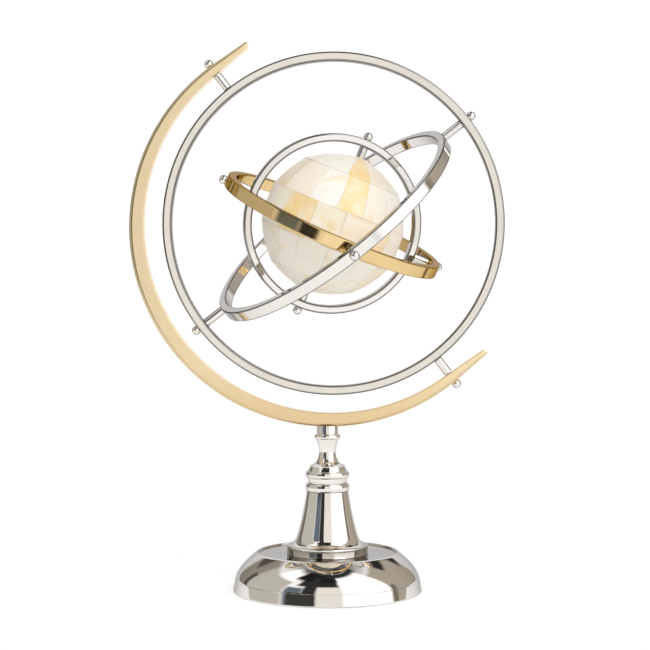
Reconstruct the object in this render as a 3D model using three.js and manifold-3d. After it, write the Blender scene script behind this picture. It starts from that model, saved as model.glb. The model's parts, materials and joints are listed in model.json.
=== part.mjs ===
// Armillary sphere on a stand: a C-shaped arc on a turned pedestal carries four nested rings
// and an inlaid globe, and each one turns inside the next on a pair of ball-headed pins.
// Millimetres, +Z up. The origin is the middle of the base's underside, the arc's plane is X-Z.

import * as THREE from "three";
import { ConvexGeometry } from "three/addons/geometries/ConvexGeometry.js";
import { mergeVertices } from "three/addons/utils/BufferGeometryUtils.js";
import Module from "manifold-3d";

const wasm = await Module();
wasm.setup();

// ---------------------------------------------------------------- driving dimensions

// Gaps between separate pieces.
const FIT = 0.3; // pieces that touch, run in or screw into one another
const ROOM = 3.5; // loose space left round the hidden weight
const PAST = 5; // how far a cutting tool runs beyond what it cuts

// Base: a heavy low dome with an upright plinth band and a shallow dish in its top.
const BASE_R = 84;
const BASE_H = 35;
const BASE_WALL = 1.8;
const PLINTH_H = 11.2;
const PLINTH_DRAFT = 1.7; // how much the band leans in over its height
const SHOULDER_BULGE = new THREE.Vector2(17.5, 13); // shoulder's bend: beyond the rim, below the top
const RIM_R = 63;
const RIM_W = 1.5;
const DISH_DEPTH = 1.6;
const LIP = 0.8;

// Hidden in the base.
const FELT_T = 1.6;
const FELT_PROUD = 0.9; // how far the felt stands below the metal
const FELT_INSET = 3.2;
const WEIGHT_T = 12;
const WEIGHT_CHAMFER = 6;
const WEIGHT_BOSS_R = 33;
const NUT_POCKET_R = 13;
const NUT_POCKET_H = 12;

// Pedestal, from the dish up.
const FLANGE_R = 36;
const FLANGE_H = 8.1;
const FLANGE_LEDGE = 2; // flat between the flange's edge and the foot of the flare
const COLUMN_TOP_R = 18.6;
const COLUMN_H = 55.3;
const COLUMN_HEEL = new THREE.Vector2(26.9, 16.1); // where the flare turns out: radius, height over the dish
const COLUMN_HEEL_BEND = new THREE.Vector2(28.6, 9.9); // bends of the flare below and above its heel
const COLUMN_WAIST_BEND = new THREE.Vector2(22.4, 30.6);
const COLLAR_H = 22.4;
const COLLAR_BEAD_R = 19.5;
const COLLAR_BULGE = 1.7; // how far a bead stands out of the collar
const COLLAR_LOW_BEAD_H = 7.4;
const COLLAR_HIGH_BEAD_H = 6;
const COLLAR_CAP_H = 4.4; // from the high bead to the neck
const COLLAR_BAND_R = 17.3;
const COLLAR_GROOVE_R = 16.4;
const COLLAR_GROOVE_H = 1.1;
const COLLAR_EDGE = 1.5;
const NECK_H = 35.98;
const NECK_FOOT_R = 15.4;
const NECK_FOOT_EDGE = 0.6;
const NECK_WAIST_R = 7.5;
const NECK_SHOULDER_R = 10;
const NECK_BEAD_R = 11.6;
const NECK_TOP_R = 9.5;
const NECK_WAIST_AT = 12.6; // height of the waist over the neck's foot
const NECK_BEAD_AT = 26.2;
const NECK_BEAD_H = 4.4;
const NECK_LOW_BEND = 3.2; // heights of the two curves' bends, over the foot and over the waist
const NECK_HIGH_BEND = 6;

// Tie rod that clamps the pedestal together, and its nut and washer.
const ROD_R = 3;
const ROD_IN_NECK = 17;
const WASHER_R = 9;
const WASHER_T = 1.6;
const NUT_AF = 10; // across flats
const NUT_T = 5;
const ROD_TAIL = 1.2; // rod showing below the nut

// The gimbal: how far its centre stands off the column's axis, and the pose it is stored in.
const CENTRE_OFFSET = 4.7;
const AXIS_TILT = THREE.MathUtils.degToRad(127.8); // first axis, from +X towards +Z
const TURN_1 = THREE.MathUtils.degToRad(-3.5);
const TURN_2 = THREE.MathUtils.degToRad(-72.9);
const TURN_3 = THREE.MathUtils.degToRad(61);
const TURN_4 = THREE.MathUtils.degToRad(82.9);
const TURN_GLOBE = THREE.MathUtils.degToRad(0);

// Arc: a crescent, thickest half way round.
const ARC_INNER_R = 168.2;
const ARC_T = 9.3; // thickness at the pivots
const ARC_SWELL = 4.5; // outer circle's shift away from the opening
const ARC_W = 13.5;
const ARC_EDGE = 2.6;
const ARC_HALF_SPAN = THREE.MathUtils.degToRad(102.45);
const ARC_TIP_RISE = 1.9; // how far a tip, drawn out straight past the pivot, stands out of the outer radius
const ARC_TIP_ROUND = 6;
const ARC_TIP_T = 4.8; // thickness left at each tip
const ARC_TAPER_FROM = THREE.MathUtils.degToRad(86.5);
const SEAT_DEPTH = 0.8; // flat let into the arc for the neck

// Screw that holds the arc on the neck.
const SCREW_R = 2.5;
const SCREW_HEAD_R = 5.4;
const SCREW_HEAD_T = 3.2;
const SCREW_IN_NECK = 11;
const SCREW_RIM = 0.6; // straight edge of the countersunk head
const SCREW_SUNK = 0.6;
const SLOT_W = 1.2;
const SLOT_DEPTH = 1.1;

// Rings, outermost first: the gap to the piece around it, radial thickness, width along the
// ring's own axis, and the width of the bevel on its four edges.
const RINGS = [
  { name: "ring_1", gap: 15.7, thick: 8.2, width: 10.5, bevel: 1.6, facets: 80, brass: false },
  { name: "ring_2", gap: 19.3, thick: 7.5, width: 10.5, bevel: 1.1, facets: 68, brass: false },
  { name: "ring_3", gap: 15, thick: 7.5, width: 11, bevel: 0.9, facets: 60, brass: true },
  { name: "ring_4", gap: 14.5, thick: 7.2, width: 10, bevel: 1.1, facets: 52, brass: false },
];

// Globe: a turned wooden core under a skin of inlay.
const GLOBE_GAP = 10.1;
const INLAY_T = 2.6;
const GLOBE_SCREW_DEPTH = 14;

// Pivots: a ball-headed pin runs in the outer piece, crosses a sleeve and screws into the inner one.
const PIN_R = 1.6;
const BALL_R = 4;
const BALL_STAND = 2.8; // ball's centre over the surface it seats on
const SLEEVE_R = 3.8;
const HOLE_FLOOR = 1.5; // metal left behind a blind hole

// Sides or steps in a full circle.
const BASE_FACETS = 44;
const WEIGHT_FACETS = 28;
const COLUMN_FACETS = 36;
const COLLAR_FACETS = 32;
const NECK_FACETS = 24;
const ROD_FACETS = 16;
const HEXAGON = 6;
const ARC_FACETS = 120;
const ARC_TIP_FACETS = 24;
const PIN_FACETS = 12;
const GLOBE_FACETS = 24;
const GLOBE_BANDS = 12; // from pole to pole
const BALL_STEPS = 5;
const BEAD_STEPS = 4;

// ---------------------------------------------------------------- materials

const material = (color, roughness, metalness) =>
  new THREE.MeshStandardMaterial({ color, roughness, metalness });
const NICKEL = () => material(0xd4cabd, 0.06, 1);
const POLISHED_BRASS = () => material(0xdcb973, 0.1, 1);
const SATIN_BRASS = () => material(0xe4cda5, 0.3, 1);
const STEEL = () => material(0x9a9a98, 0.35, 1);
const CAST_IRON = () => material(0x4b4a48, 0.7, 0.8);
const FELT = () => material(0x2c3a2e, 1, 0);
const WOOD = () => material(0xb58b5a, 0.6, 0);
const BONE = () => material(0xefe4cf, 0.3, 0);

// ---------------------------------------------------------------- geometry helpers

const point = (x, y) => new THREE.Vector2(x, y);

// A closed three.js geometry as a solid that can be cut and joined.
function toSolid(geometry) {
  const bare = geometry.clone();
  bare.deleteAttribute("normal");
  bare.deleteAttribute("uv");
  const merged = mergeVertices(bare, 1e-4);
  const mesh = new wasm.Mesh({
    numProp: 3,
    vertProperties: new Float32Array(merged.attributes.position.array),
    triVerts: new Uint32Array(merged.index.array),
  });
  return new wasm.Manifold(mesh);
}

function toGeometry(solid) {
  const mesh = solid.getMesh();
  const geometry = new THREE.BufferGeometry();
  geometry.setAttribute("position", new THREE.BufferAttribute(mesh.vertProperties, 3));
  geometry.setIndex(new THREE.BufferAttribute(mesh.triVerts, 1));
  geometry.computeVertexNormals();
  return geometry;
}

const cut = (geometry, ...tools) =>
  toGeometry(tools.reduce((solid, tool) => solid.subtract(toSolid(tool)), toSolid(geometry)));

// A turned piece about +Y, its closed profile given as points (radius, height) that run
// upwards on the outside.
function turned(profile, facets) {
  const closed = profile[0].x === 0 ? profile : [...profile, profile[0].clone()];
  return new THREE.LatheGeometry(closed, facets);
}

// The same, stood up along +Z.
const standing = (profile, facets) => turned(profile, facets).rotateX(Math.PI / 2);

// Points of a curve from a to b that bends towards c, both ends included.
const bend = (a, c, b, steps) => new THREE.QuadraticBezierCurve(a, c, b).getPoints(steps);

// Half-round bead on a turned outside: points from the bottom up.
function bead(radius, low, high, crown) {
  return Array.from({ length: BEAD_STEPS + 1 }, (_, i) => {
    const angle = -Math.PI / 2 + (Math.PI * i) / BEAD_STEPS;
    const middle = (low + high) / 2;
    return point(radius + (crown - radius) * Math.cos(angle), middle + ((high - low) / 2) * Math.sin(angle));
  });
}

// A straight tool along +Y between two heights.
function bore(radius, low, high, facets = PIN_FACETS) {
  return new THREE.CylinderGeometry(radius, radius, high - low, facets).translate(0, (low + high) / 2, 0);
}

// Turns a piece made along +Y so that it lies along +X or +Z, either way round.
function aimed(geometry, axis, sign) {
  if (axis === "x") return geometry.rotateZ((-sign * Math.PI) / 2);
  return geometry.rotateX((sign * Math.PI) / 2);
}

function piece(name, geometry, surface) {
  const mesh = new THREE.Mesh(geometry, surface);
  mesh.name = name;
  return mesh;
}

// ---------------------------------------------------------------- places worked out

const baseBottom = FELT_PROUD;
const dishFloor = BASE_H - DISH_DEPTH;
const ceiling = dishFloor - BASE_WALL;
const columnTop = dishFloor + COLUMN_H;
const collarTop = columnTop + COLLAR_H;
const neckTop = collarTop + NECK_H;

// The arc's outer circle has its centre off the gimbal's, and rests its lowest point on the neck.
const arcOuterR = ARC_INNER_R + ARC_T;
const arcTipR = arcOuterR + ARC_TIP_RISE;
const arcMiddle = AXIS_TILT + Math.PI / 2;
const outerCentreX = CENTRE_OFFSET + ARC_SWELL * Math.cos(arcMiddle);
const arcUnderside = neckTop + FIT - SEAT_DEPTH;
const outerCentreZ = arcUnderside + Math.sqrt(arcOuterR ** 2 - outerCentreX ** 2);
const CENTRE = new THREE.Vector3(CENTRE_OFFSET, 0, outerCentreZ - ARC_SWELL * Math.sin(arcMiddle));
const arcInside = CENTRE.z - Math.sqrt(ARC_INNER_R ** 2 - CENTRE.x ** 2);

// ---------------------------------------------------------------- base

// Outside of the base from its lip to the rim of the dish.
function baseOutside() {
  const rim = point(RIM_R, BASE_H);
  const shoulder = point(RIM_R + SHOULDER_BULGE.x, BASE_H - SHOULDER_BULGE.y);
  const plinthTop = point(BASE_R - PLINTH_DRAFT, PLINTH_H);
  return [
    point(BASE_R - LIP, baseBottom),
    point(BASE_R, baseBottom + LIP),
    ...bend(plinthTop, shoulder, rim, 6),
  ];
}

// The hollow follows the outside, a wall's thickness in and half of that down.
function baseShell() {
  const outside = baseOutside();
  const inside = outside
    .slice(2)
    .map((p) => point(p.x - BASE_WALL, p.y - BASE_WALL / 2))
    .filter((p) => p.y < ceiling - BASE_WALL / 2)
    .reverse();
  const dish = [
    point(RIM_R - RIM_W, BASE_H - RIM_W / 2),
    point(RIM_R - RIM_W, dishFloor),
    point(ROD_R + FIT, dishFloor),
  ];
  const hollow = [
    point(ROD_R + FIT, ceiling),
    point(inside[0].x - BASE_WALL, ceiling),
    ...inside,
    point(BASE_R - LIP - BASE_WALL, baseBottom),
  ];
  return standing([...outside, ...dish, ...hollow], BASE_FACETS);
}

const weightR = BASE_R - PLINTH_DRAFT - BASE_WALL - ROOM;
const weightLow = FELT_T + FIT;

function baseWeight() {
  return standing(
    [
      point(NUT_POCKET_R, weightLow),
      point(weightR, weightLow),
      point(weightR, weightLow + WEIGHT_T - WEIGHT_CHAMFER),
      point(weightR - WEIGHT_CHAMFER, weightLow + WEIGHT_T),
      point(WEIGHT_BOSS_R, weightLow + WEIGHT_T),
      point(WEIGHT_BOSS_R, ceiling),
      point(ROD_R + FIT, ceiling),
      point(ROD_R + FIT, weightLow + NUT_POCKET_H),
      point(NUT_POCKET_R, weightLow + NUT_POCKET_H),
    ],
    WEIGHT_FACETS,
  );
}

function feltPad() {
  const radius = BASE_R - LIP - FELT_INSET;
  return bore(radius, 0, FELT_T, BASE_FACETS).rotateX(Math.PI / 2);
}

// ---------------------------------------------------------------- pedestal

function column() {
  const flangeTop = dishFloor + FLANGE_H;
  const foot = point(FLANGE_R - FLANGE_LEDGE, flangeTop);
  const top = point(COLUMN_TOP_R, columnTop);
  const [heel, low, high] = [COLUMN_HEEL, COLUMN_HEEL_BEND, COLUMN_WAIST_BEND].map((p) =>
    point(p.x, dishFloor + p.y),
  );
  return standing(
    [
      point(ROD_R + FIT, dishFloor),
      point(FLANGE_R - LIP, dishFloor),
      point(FLANGE_R, dishFloor + LIP),
      point(FLANGE_R, flangeTop - LIP),
      point(FLANGE_R - LIP, flangeTop),
      ...bend(foot, low, heel, 4),
      ...bend(heel, high, top, 6).slice(1),
      point(ROD_R + FIT, columnTop),
    ],
    COLUMN_FACETS,
  );
}

function collar() {
  const root = COLLAR_BEAD_R - COLLAR_BULGE;
  const lowTop = columnTop + COLLAR_LOW_BEAD_H;
  const highTop = collarTop - COLLAR_CAP_H;
  const highLow = highTop - COLLAR_HIGH_BEAD_H;
  return standing(
    [
      point(ROD_R + FIT, columnTop),
      ...bead(root, columnTop, lowTop, COLLAR_BEAD_R),
      point(COLLAR_GROOVE_R, lowTop),
      point(COLLAR_GROOVE_R, lowTop + COLLAR_GROOVE_H),
      point(COLLAR_BAND_R, lowTop + COLLAR_GROOVE_H),
      point(COLLAR_BAND_R, highLow),
      ...bead(root, highLow, highTop, COLLAR_BEAD_R),
      point(NECK_FOOT_R + COLLAR_EDGE, collarTop - COLLAR_EDGE),
      point(NECK_FOOT_R, collarTop),
      point(ROD_R + FIT, collarTop),
    ],
    COLLAR_FACETS,
  );
}

function neck() {
  const waistZ = collarTop + NECK_WAIST_AT;
  const beadLow = collarTop + NECK_BEAD_AT - NECK_BEAD_H / 2;
  const beadHigh = beadLow + NECK_BEAD_H;
  const foot = point(NECK_FOOT_R, collarTop + NECK_FOOT_EDGE);
  const waist = point(NECK_WAIST_R, waistZ);
  const shoulder = point(NECK_SHOULDER_R, beadLow);
  const outline = [
    point(0, collarTop),
    point(NECK_FOOT_R, collarTop),
    ...bend(foot, point(NECK_WAIST_R, collarTop + NECK_LOW_BEND), waist, 6),
    ...bend(waist, point(NECK_WAIST_R, waistZ + NECK_HIGH_BEND), shoulder, 4).slice(1, -1),
    ...bead(NECK_SHOULDER_R, beadLow, beadHigh, NECK_BEAD_R),
    point(NECK_TOP_R, beadHigh),
    point(NECK_TOP_R, neckTop),
    point(0, neckTop),
  ];
  const rodHole = bore(ROD_R + FIT, collarTop - PAST, collarTop + ROD_IN_NECK).rotateX(Math.PI / 2);
  const screwHole = bore(SCREW_R + FIT, neckTop - SCREW_IN_NECK, neckTop + PAST).rotateX(Math.PI / 2);
  return cut(standing(outline, NECK_FACETS), rodHole, screwHole);
}

// ---------------------------------------------------------------- tie rod and fasteners

const washerTop = weightLow + NUT_POCKET_H;
const nutTop = washerTop - WASHER_T;
const rodBottom = nutTop - NUT_T - ROD_TAIL;

function tieRod() {
  const top = collarTop + ROD_IN_NECK - FIT;
  return bore(ROD_R, rodBottom, top, ROD_FACETS).rotateX(Math.PI / 2);
}

function washer() {
  return cut(
    bore(WASHER_R, nutTop, washerTop, ROD_FACETS).rotateX(Math.PI / 2),
    bore(ROD_R + FIT, nutTop - PAST, washerTop + PAST, ROD_FACETS).rotateX(Math.PI / 2),
  );
}

function nut() {
  const corner = NUT_AF / 2 / Math.cos(Math.PI / HEXAGON);
  return cut(
    bore(corner, nutTop - NUT_T, nutTop, HEXAGON).rotateX(Math.PI / 2),
    bore(ROD_R + FIT, nutTop - NUT_T - PAST, nutTop + PAST, ROD_FACETS).rotateX(Math.PI / 2),
  );
}

// ---------------------------------------------------------------- arc

// A disc about +Y with rounded edges.
function roundedDisc(radius, width, edge, facets) {
  const half = width / 2;
  const inset = edge * (1 - Math.SQRT1_2);
  return turned(
    [
      point(0, -half),
      point(radius - edge, -half),
      point(radius - inset, -half + inset),
      point(radius, -half + edge),
      point(radius, half - edge),
      point(radius - inset, half - inset),
      point(radius - edge, half),
      point(0, half),
    ],
    facets,
  );
}

// Everything the arc leaves open, in its own plane: the side facing the opening and the
// wedge behind each tip. The plane's axes are the pivot line and the arc's middle.
function arcOpening() {
  const along = (radius, angle, side) => [side * radius * Math.sin(angle), radius * Math.cos(angle)];
  const tipInner = arcTipR - ARC_TIP_T;
  const reach = arcOuterR + ARC_SWELL + PAST;
  const half = (side) => [
    along(ARC_INNER_R - FIT, ARC_TAPER_FROM, side),
    along(tipInner, ARC_HALF_SPAN, side),
    along(reach, ARC_HALF_SPAN, side),
    [side * reach, -reach],
  ];
  const outline = [...half(1), ...half(-1).reverse()].map(([x, z]) => point(x, -z));
  const slab = new THREE.ExtrudeGeometry(new THREE.Shape(outline), { depth: ARC_W * 2, bevelEnabled: false });
  return slab.rotateX(-Math.PI / 2).translate(0, -ARC_W, 0);
}

// The swollen disc, drawn out to a rounded corner at each tip.
function arcBlank() {
  const disc = roundedDisc(arcOuterR, ARC_W, ARC_EDGE, ARC_FACETS).translate(0, 0, ARC_SWELL);
  const tips = [1, -1].map((side) => {
    const tip = point(0, arcTipR - ARC_TIP_ROUND).rotateAround(point(0, 0), -side * ARC_HALF_SPAN);
    return roundedDisc(ARC_TIP_ROUND, ARC_W, ARC_EDGE, ARC_TIP_FACETS).translate(tip.x, 0, tip.y);
  });
  const corners = [disc, ...tips].flatMap((piece) => {
    const at = piece.getAttribute("position");
    return Array.from({ length: at.count }, (_, i) => new THREE.Vector3().fromBufferAttribute(at, i));
  });
  return new ConvexGeometry(corners);
}

// The arc in the gimbal's first frame: pivots along X, its middle along +Z.
function arc() {
  const swollen = arcBlank();
  const inside = bore(ARC_INNER_R, -ARC_W, ARC_W, ARC_FACETS);
  const reach = arcOuterR + PAST;
  const pivots = aimed(bore(PIN_R + FIT, -reach, reach), "x", 1);
  return cut(swollen, inside, arcOpening(), pivots, ...arcMounting());
}

// Seat, clearance hole and countersink for the neck, moved into the arc's frame.
function arcMounting() {
  const seat = bore(NECK_TOP_R + FIT, neckTop - PAST, neckTop + FIT, NECK_FACETS);
  const hole = bore(SCREW_R + FIT, neckTop - PAST, arcInside + PAST);
  const sink = turned(screwHead(FIT), ROD_FACETS);
  return [seat, hole, sink].map((tool) => {
    tool.rotateX(Math.PI / 2);
    tool.translate(-CENTRE.x, 0, -CENTRE.z);
    return tool.rotateY(AXIS_TILT);
  });
}

// Countersunk head, let in below the arc's inside, grown all round by a clearance.
function screwHead(clearance) {
  const top = arcInside - SCREW_SUNK;
  const low = top - SCREW_HEAD_T;
  const high = clearance ? top + PAST : top;
  return [
    point(0, low - clearance),
    point(SCREW_R + clearance, low - clearance),
    point(SCREW_HEAD_R + clearance, top - SCREW_RIM - clearance),
    point(SCREW_HEAD_R + clearance, high),
    point(0, high),
  ];
}

function arcScrew() {
  const top = arcInside - SCREW_SUNK;
  const shank = bore(SCREW_R, neckTop - SCREW_IN_NECK + FIT, top - SCREW_RIM);
  const head = turned(screwHead(0), ROD_FACETS);
  const slot = new THREE.BoxGeometry(SLOT_W, SLOT_DEPTH * 2, SCREW_HEAD_R * 2 + PAST).translate(0, top, 0);
  const joined = toSolid(head).add(toSolid(shank)).subtract(toSolid(slot));
  return toGeometry(joined).rotateX(Math.PI / 2);
}

// ---------------------------------------------------------------- rings, pins and sleeves

// The section of a ring, bevelled on its four edges.
function ringProfile({ radius, thick, width, bevel }) {
  const inner = radius - thick;
  const half = width / 2;
  return [
    point(inner, -half + bevel),
    point(inner + bevel, -half),
    point(radius - bevel, -half),
    point(radius, -half + bevel),
    point(radius, half - bevel),
    point(radius - bevel, half),
    point(inner + bevel, half),
    point(inner, half - bevel),
  ];
}

// A ring with a blind hole at each outer pivot and a through hole at each inner pivot.
function ring(spec, outerAxis) {
  const innerAxis = outerAxis === "x" ? "z" : "x";
  const floor = spec.radius - spec.thick + HOLE_FLOOR;
  const reach = spec.radius + PAST;
  const blind = [1, -1].map((sign) => aimed(bore(PIN_R + FIT, floor, reach), outerAxis, sign));
  const through = aimed(bore(PIN_R + FIT, -reach, reach), innerAxis, 1);
  return cut(turned(ringProfile(spec), spec.facets), ...blind, through);
}

// A pin along +Y: from its inner end through the outer piece to the top of its ball.
function pin(innerEnd, seatedOn) {
  const flat = seatedOn + FIT;
  const ballAt = seatedOn + BALL_STAND;
  const rise = Math.asin((flat - ballAt) / BALL_R);
  const ball = Array.from({ length: BALL_STEPS }, (_, i) => {
    const angle = rise + ((Math.PI / 2 - rise) * i) / BALL_STEPS;
    return point(BALL_R * Math.cos(angle), ballAt + BALL_R * Math.sin(angle));
  });
  return turned(
    [
      point(0, innerEnd),
      point(PIN_R, innerEnd),
      point(PIN_R, flat),
      ...ball,
      point(0, ballAt + BALL_R),
    ],
    PIN_FACETS,
  );
}

function sleeve(low, high) {
  return turned(
    [
      point(PIN_R + FIT, low + FIT),
      point(SLEEVE_R, low + FIT),
      point(SLEEVE_R, high - FIT),
      point(PIN_R + FIT, high - FIT),
    ],
    PIN_FACETS,
  );
}

// Both pins and both sleeves of one pivot line. `outer` and `inner` are the outer piece's
// two radii there, `seat` the inner piece's surface and `depth` how far the pin goes in.
function pivotPair(parent, number, axis, { outer, inner, seat, depth }) {
  const ends = [
    ["a", 1],
    ["b", -1],
  ];
  for (const [end, sign] of ends) {
    parent.add(
      piece(`pivot_pin_${number}${end}`, aimed(pin(seat - depth + FIT, outer), axis, sign), NICKEL()),
      piece(`spacer_sleeve_${number}${end}`, aimed(sleeve(seat, inner), axis, sign), NICKEL()),
    );
  }
}

// ---------------------------------------------------------------- globe

// Half circle from the lower pole's hole to the upper one's, as turned profile points.
function halfCircle(radius, hole, steps) {
  const start = Math.acos(hole / radius);
  return Array.from({ length: steps + 1 }, (_, i) => {
    const angle = -start + (2 * start * i) / steps;
    return point(radius * Math.cos(angle), radius * Math.sin(angle));
  });
}

function globeCore(outerR) {
  const radius = outerR - INLAY_T - FIT;
  const floor = outerR - GLOBE_SCREW_DEPTH;
  const outline = [point(0, -radius), ...halfCircle(radius, PIN_R + FIT, GLOBE_BANDS), point(0, radius)];
  const ball = aimed(turned(outline, GLOBE_FACETS), "x", 1);
  const holes = [1, -1].map((sign) => aimed(bore(PIN_R + FIT, floor, outerR), "x", sign));
  return cut(ball, ...holes);
}

function globeInlay(outerR) {
  const hole = PIN_R + FIT;
  const outside = halfCircle(outerR, hole, GLOBE_BANDS);
  const inside = halfCircle(outerR - INLAY_T, hole, GLOBE_BANDS).reverse();
  return aimed(turned([...outside, ...inside], GLOBE_FACETS), "x", 1);
}

// ---------------------------------------------------------------- assembly

const armillary = new THREE.Group();

armillary.add(
  piece("base_shell", baseShell(), NICKEL()),
  piece("base_weight", baseWeight(), CAST_IRON()),
  piece("felt_pad", feltPad(), FELT()),
  piece("column", column(), NICKEL()),
  piece("collar", collar(), NICKEL()),
  piece("neck", neck(), NICKEL()),
  piece("tie_rod", tieRod(), STEEL()),
  piece("tie_rod_washer", washer(), STEEL()),
  piece("tie_rod_nut", nut(), STEEL()),
  piece("arc_screw", arcScrew(), NICKEL()),
);

// The arc's frame: X along the first axis, Z to the arc's middle.
const gimbal = new THREE.Group();
gimbal.position.copy(CENTRE);
gimbal.rotation.y = -AXIS_TILT;
gimbal.add(piece("arc", arc(), SATIN_BRASS()));
armillary.add(gimbal);

// Each ring hangs in the one before, on axes that alternate between X and Z.
const turns = [TURN_1, TURN_2, TURN_3, TURN_4];
let carrier = gimbal;
let around = { outer: Math.sqrt(arcOuterR ** 2 - ARC_SWELL ** 2), inner: ARC_INNER_R };
RINGS.forEach((spec, i) => {
  const axis = i % 2 === 0 ? "x" : "z";
  const radius = around.inner - spec.gap;
  const frame = new THREE.Group();
  if (axis === "x") frame.rotation.x = turns[i];
  else frame.rotation.z = -turns[i];
  frame.add(piece(spec.name, ring({ ...spec, radius }, axis), spec.brass ? POLISHED_BRASS() : NICKEL()));
  pivotPair(frame, i + 1, axis, { ...around, seat: radius, depth: spec.thick - HOLE_FLOOR });
  carrier.add(frame);
  carrier = frame;
  around = { outer: radius, inner: radius - spec.thick };
});

const globe = new THREE.Group();
const globeR = around.inner - GLOBE_GAP;
globe.rotation.x = TURN_GLOBE;
globe.add(piece("globe_core", globeCore(globeR), WOOD()), piece("globe_inlay", globeInlay(globeR), BONE()));
pivotPair(globe, RINGS.length + 1, "x", { ...around, seat: globeR, depth: GLOBE_SCREW_DEPTH });
carrier.add(globe);

export default armillary;
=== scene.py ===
"""Looks of the armillary sphere: fine turned and swept metal, a tiled onyx globe and a studio."""

import json
import math
import random

import bmesh
import bpy
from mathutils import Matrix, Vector


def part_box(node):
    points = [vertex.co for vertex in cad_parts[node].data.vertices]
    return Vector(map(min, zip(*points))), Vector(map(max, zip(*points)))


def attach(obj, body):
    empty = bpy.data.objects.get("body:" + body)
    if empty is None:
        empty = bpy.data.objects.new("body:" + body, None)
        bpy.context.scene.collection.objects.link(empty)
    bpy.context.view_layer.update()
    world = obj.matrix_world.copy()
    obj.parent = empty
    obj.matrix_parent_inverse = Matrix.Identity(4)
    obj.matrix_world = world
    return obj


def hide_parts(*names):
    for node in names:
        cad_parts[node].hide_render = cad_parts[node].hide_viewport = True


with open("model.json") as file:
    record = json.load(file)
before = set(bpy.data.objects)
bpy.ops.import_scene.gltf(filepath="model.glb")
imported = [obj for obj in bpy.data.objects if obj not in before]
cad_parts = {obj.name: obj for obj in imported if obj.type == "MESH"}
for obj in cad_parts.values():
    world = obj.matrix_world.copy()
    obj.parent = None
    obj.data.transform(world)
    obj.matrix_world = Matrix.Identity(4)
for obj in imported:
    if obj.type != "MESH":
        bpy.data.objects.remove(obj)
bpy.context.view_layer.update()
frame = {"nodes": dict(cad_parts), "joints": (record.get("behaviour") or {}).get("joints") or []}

MM = 0.001
UP = Vector((0, 0, 1))

# ------------------------------------------------------------------ camera and stage sizes

CAMERA_AT = Vector((-2.2, -1277.5, 236.8)) * MM
CAMERA_LENS = 79.3  # on a 36 mm sensor
FLOOR_HALF = 1.4
FLOOR_FRONT = -1.1
FLOOR_BEND = 1.2  # radius of the sweep from floor to wall
WALL_AT = 2.6
WALL_H = 3.0

# ------------------------------------------------------------------ sizes of the fine shapes, in mm

# How round each ring's edges are. Rings 1 and 4 are rounder than the bevels of their solids.
RING_EDGE = {"ring_1": 1.7, "ring_2": 1.1, "ring_3": 0.9, "ring_4": 1.7}
ARC_TAPER_FROM = math.radians(86.5)
ARC_HALF_SPAN = math.radians(102.45)
ARC_T = 9.3
ARC_SWELL = 4.5
ARC_TIP_RISE = 1.9
ARC_TIP_T = 4.8
ARC_OUTER_EDGE = 3.2
ARC_INNER_EDGE = 0.7
ARC_TIP_INSET = 0.5  # how much smaller the flat end is than the section beside it
ARC_STEPS = 260
ARC_EDGE_SHADE = (1, 1, 0.3, 0.3)  # how deep the painted edge shade of each edge is: outer two, inner two
RING_SEGMENTS = 288
PIN_SEGMENTS = 48
BALL_R = 4.0
PIN_R = 1.6
SLEEVE_EDGE = 0.35
TILE_GROOVE = 0.08
TILE_FLATTEN = 0.3  # share of the way from the sphere to each tile's own flat
GROUT_BELOW = 1.3


def joint(name):
    return next(j for j in frame["joints"] if j["name"] == name)


PIVOTS = [joint(f"ring_{k}_pivot") for k in (1, 2, 3, 4)] + [joint("globe_pivot")]
CENTRE = Vector(PIVOTS[0]["pos_m"])
AXES = [Vector(p["axis"]).normalized() for p in PIVOTS]
BODIES = [p["child"] for p in PIVOTS]

# ------------------------------------------------------------------ mesh helpers


def add_mesh(name, points, faces, body, material, sharp=35):
    """A smooth-shaded mesh piece that rides on a body."""
    mesh = bpy.data.meshes.new(name)
    mesh.from_pydata([tuple(p) for p in points], [], faces)
    mesh.validate()
    shell = bmesh.new()
    shell.from_mesh(mesh)
    bmesh.ops.recalc_face_normals(shell, faces=shell.faces)
    shell.to_mesh(mesh)
    shell.free()
    mesh.shade_smooth()
    mesh.set_sharp_from_angle(angle=math.radians(sharp))
    mesh.materials.append(material)
    piece = bpy.data.objects.new(name, mesh)
    bpy.context.scene.collection.objects.link(piece)
    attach(piece, body)
    return piece


def square_to(axis):
    """Two unit vectors at right angles to an axis and to each other."""
    helper = Vector((0, 1, 0)) if abs(axis.y) < 0.9 else Vector((1, 0, 0))
    first = axis.cross(helper).normalized()
    return first, axis.cross(first).normalized()


def revolve(name, outline, origin, axis, segments, body, slot, material, sharp=35):
    """Turns an outline of (radius, height) in mm about an axis. An outline that starts and ends
    on the axis makes a solid, and any other one closes on itself."""
    u, v = square_to(axis)
    on_axis = outline[0][0] == 0
    points, rings = [], []
    for radius, height in outline:
        base = origin + axis * height * MM
        if radius == 0:
            rings.append([len(points)] * segments)
            points.append(base)
            continue
        rings.append(list(range(len(points), len(points) + segments)))
        for i in range(segments):
            angle = 2 * math.pi * i / segments
            points.append(base + (u * math.cos(angle) + v * math.sin(angle)) * radius * MM)
    faces = []
    count = len(rings)
    for k in range(count - 1 if on_axis else count):
        low, high = rings[k], rings[(k + 1) % count]
        for i in range(segments):
            j = (i + 1) % segments
            corners = [low[i], low[j], high[j], high[i]]
            faces.append(list(dict.fromkeys(corners)))
    return add_mesh(name, points, faces, body, material, sharp)


def arc_points(cx, cy, radius, start, end, steps):
    """Points of a circular arc, angles in degrees."""
    return [
        (
            cx + radius * math.cos(math.radians(start + (end - start) * i / steps)),
            cy + radius * math.sin(math.radians(start + (end - start) * i / steps)),
        )
        for i in range(steps + 1)
    ]


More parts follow.
